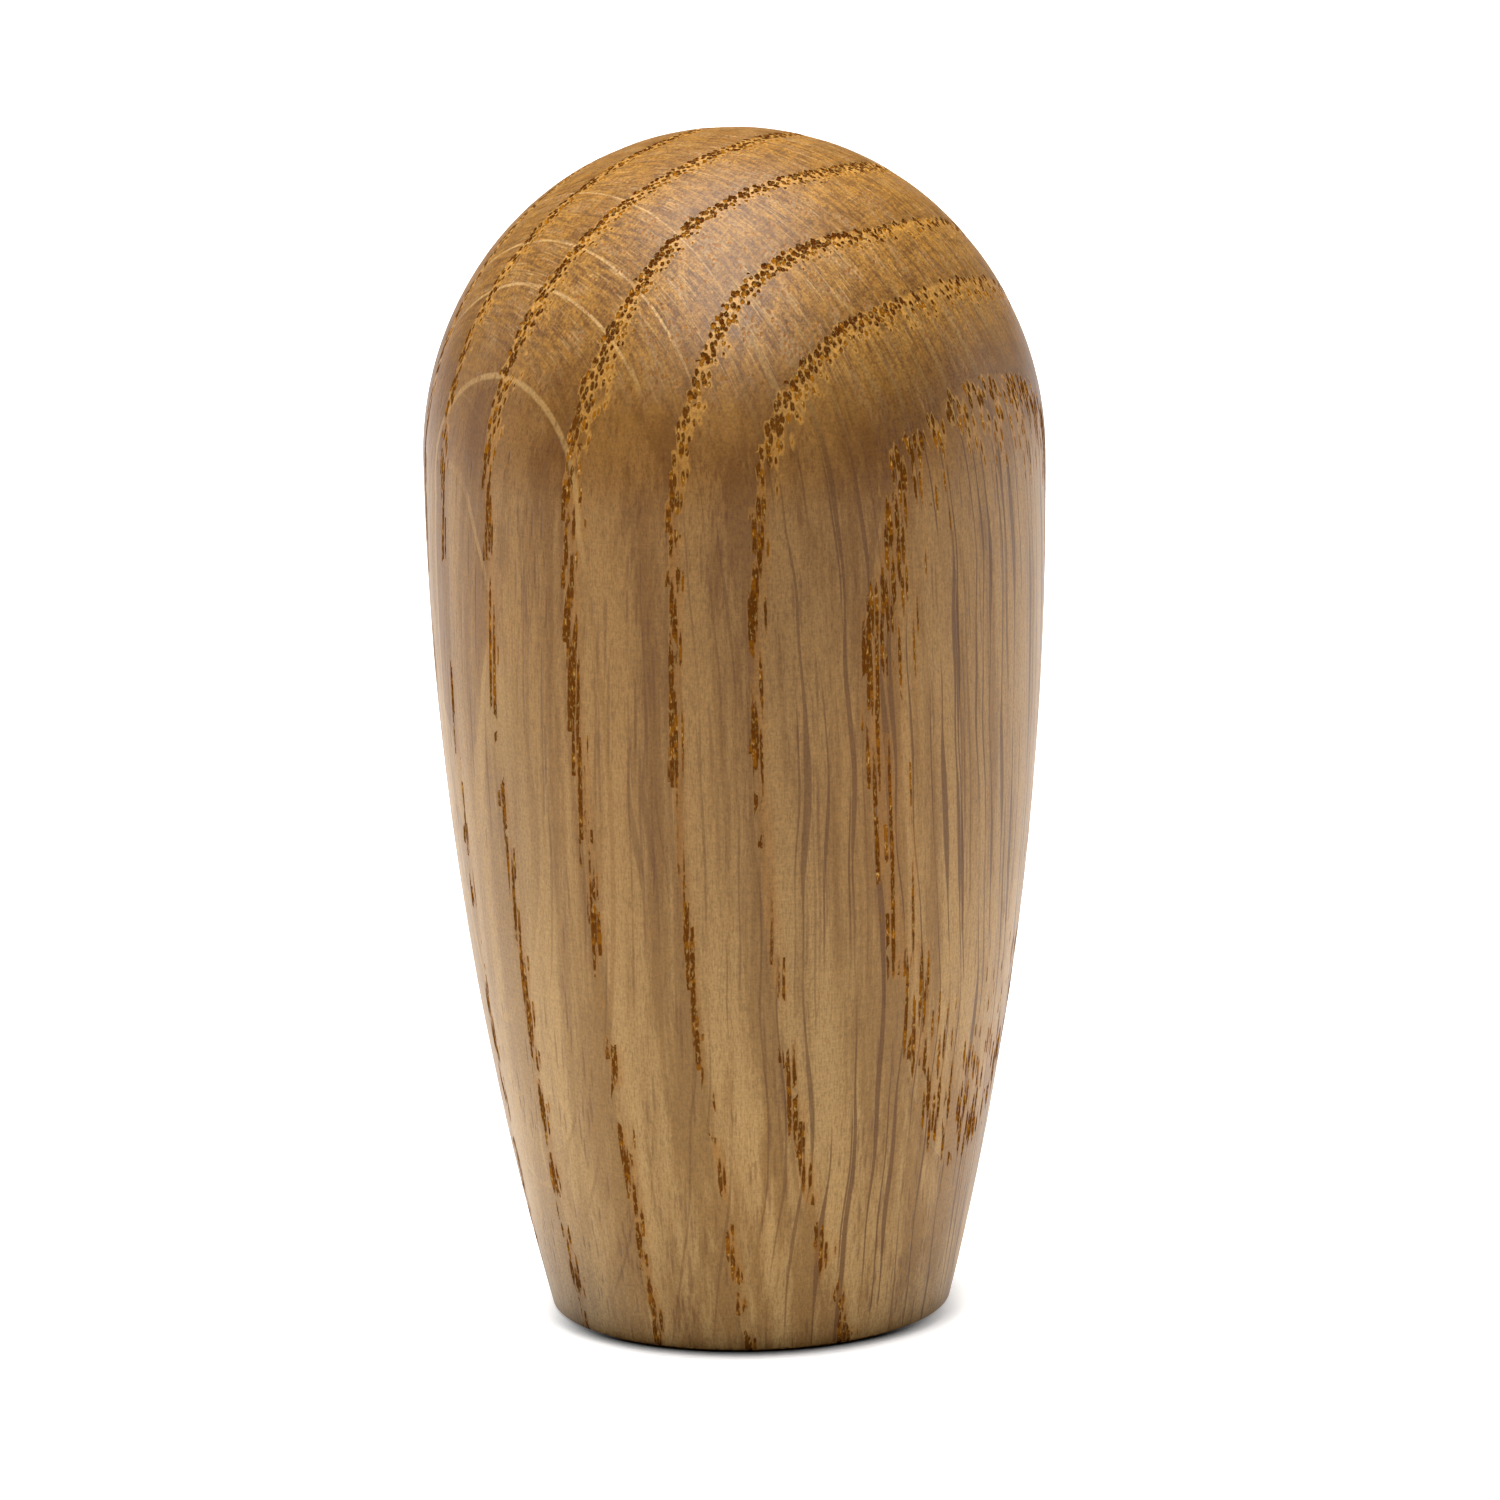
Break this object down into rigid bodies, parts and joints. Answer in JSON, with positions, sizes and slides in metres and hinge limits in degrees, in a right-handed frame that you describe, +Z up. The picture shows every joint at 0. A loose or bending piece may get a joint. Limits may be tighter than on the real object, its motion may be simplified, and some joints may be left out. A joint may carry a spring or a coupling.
{
  "type": "kokeshi doll",
  "caption": "Plain unpainted turned oak figure: domed head flowing without a neck into a long taper on a small flat felted foot.",
  "frame": {"origin": "centre of the face that the figure stands on", "axes": "+Z up along the turning axis; the figure is round about it, so +X and +Y are free"},
  "size_m": [0.0362, 0.0362, 0.07],
  "materials": {
    "oak": "oiled, satin",
    "adhesive": "matt",
    "felt": "pressed wool felt"
  },
  "bodies": {
    "root": {"oak_body": "oak", "adhesive_film": "adhesive", "felt_pad": "felt"}
  },
  "joints": []
}
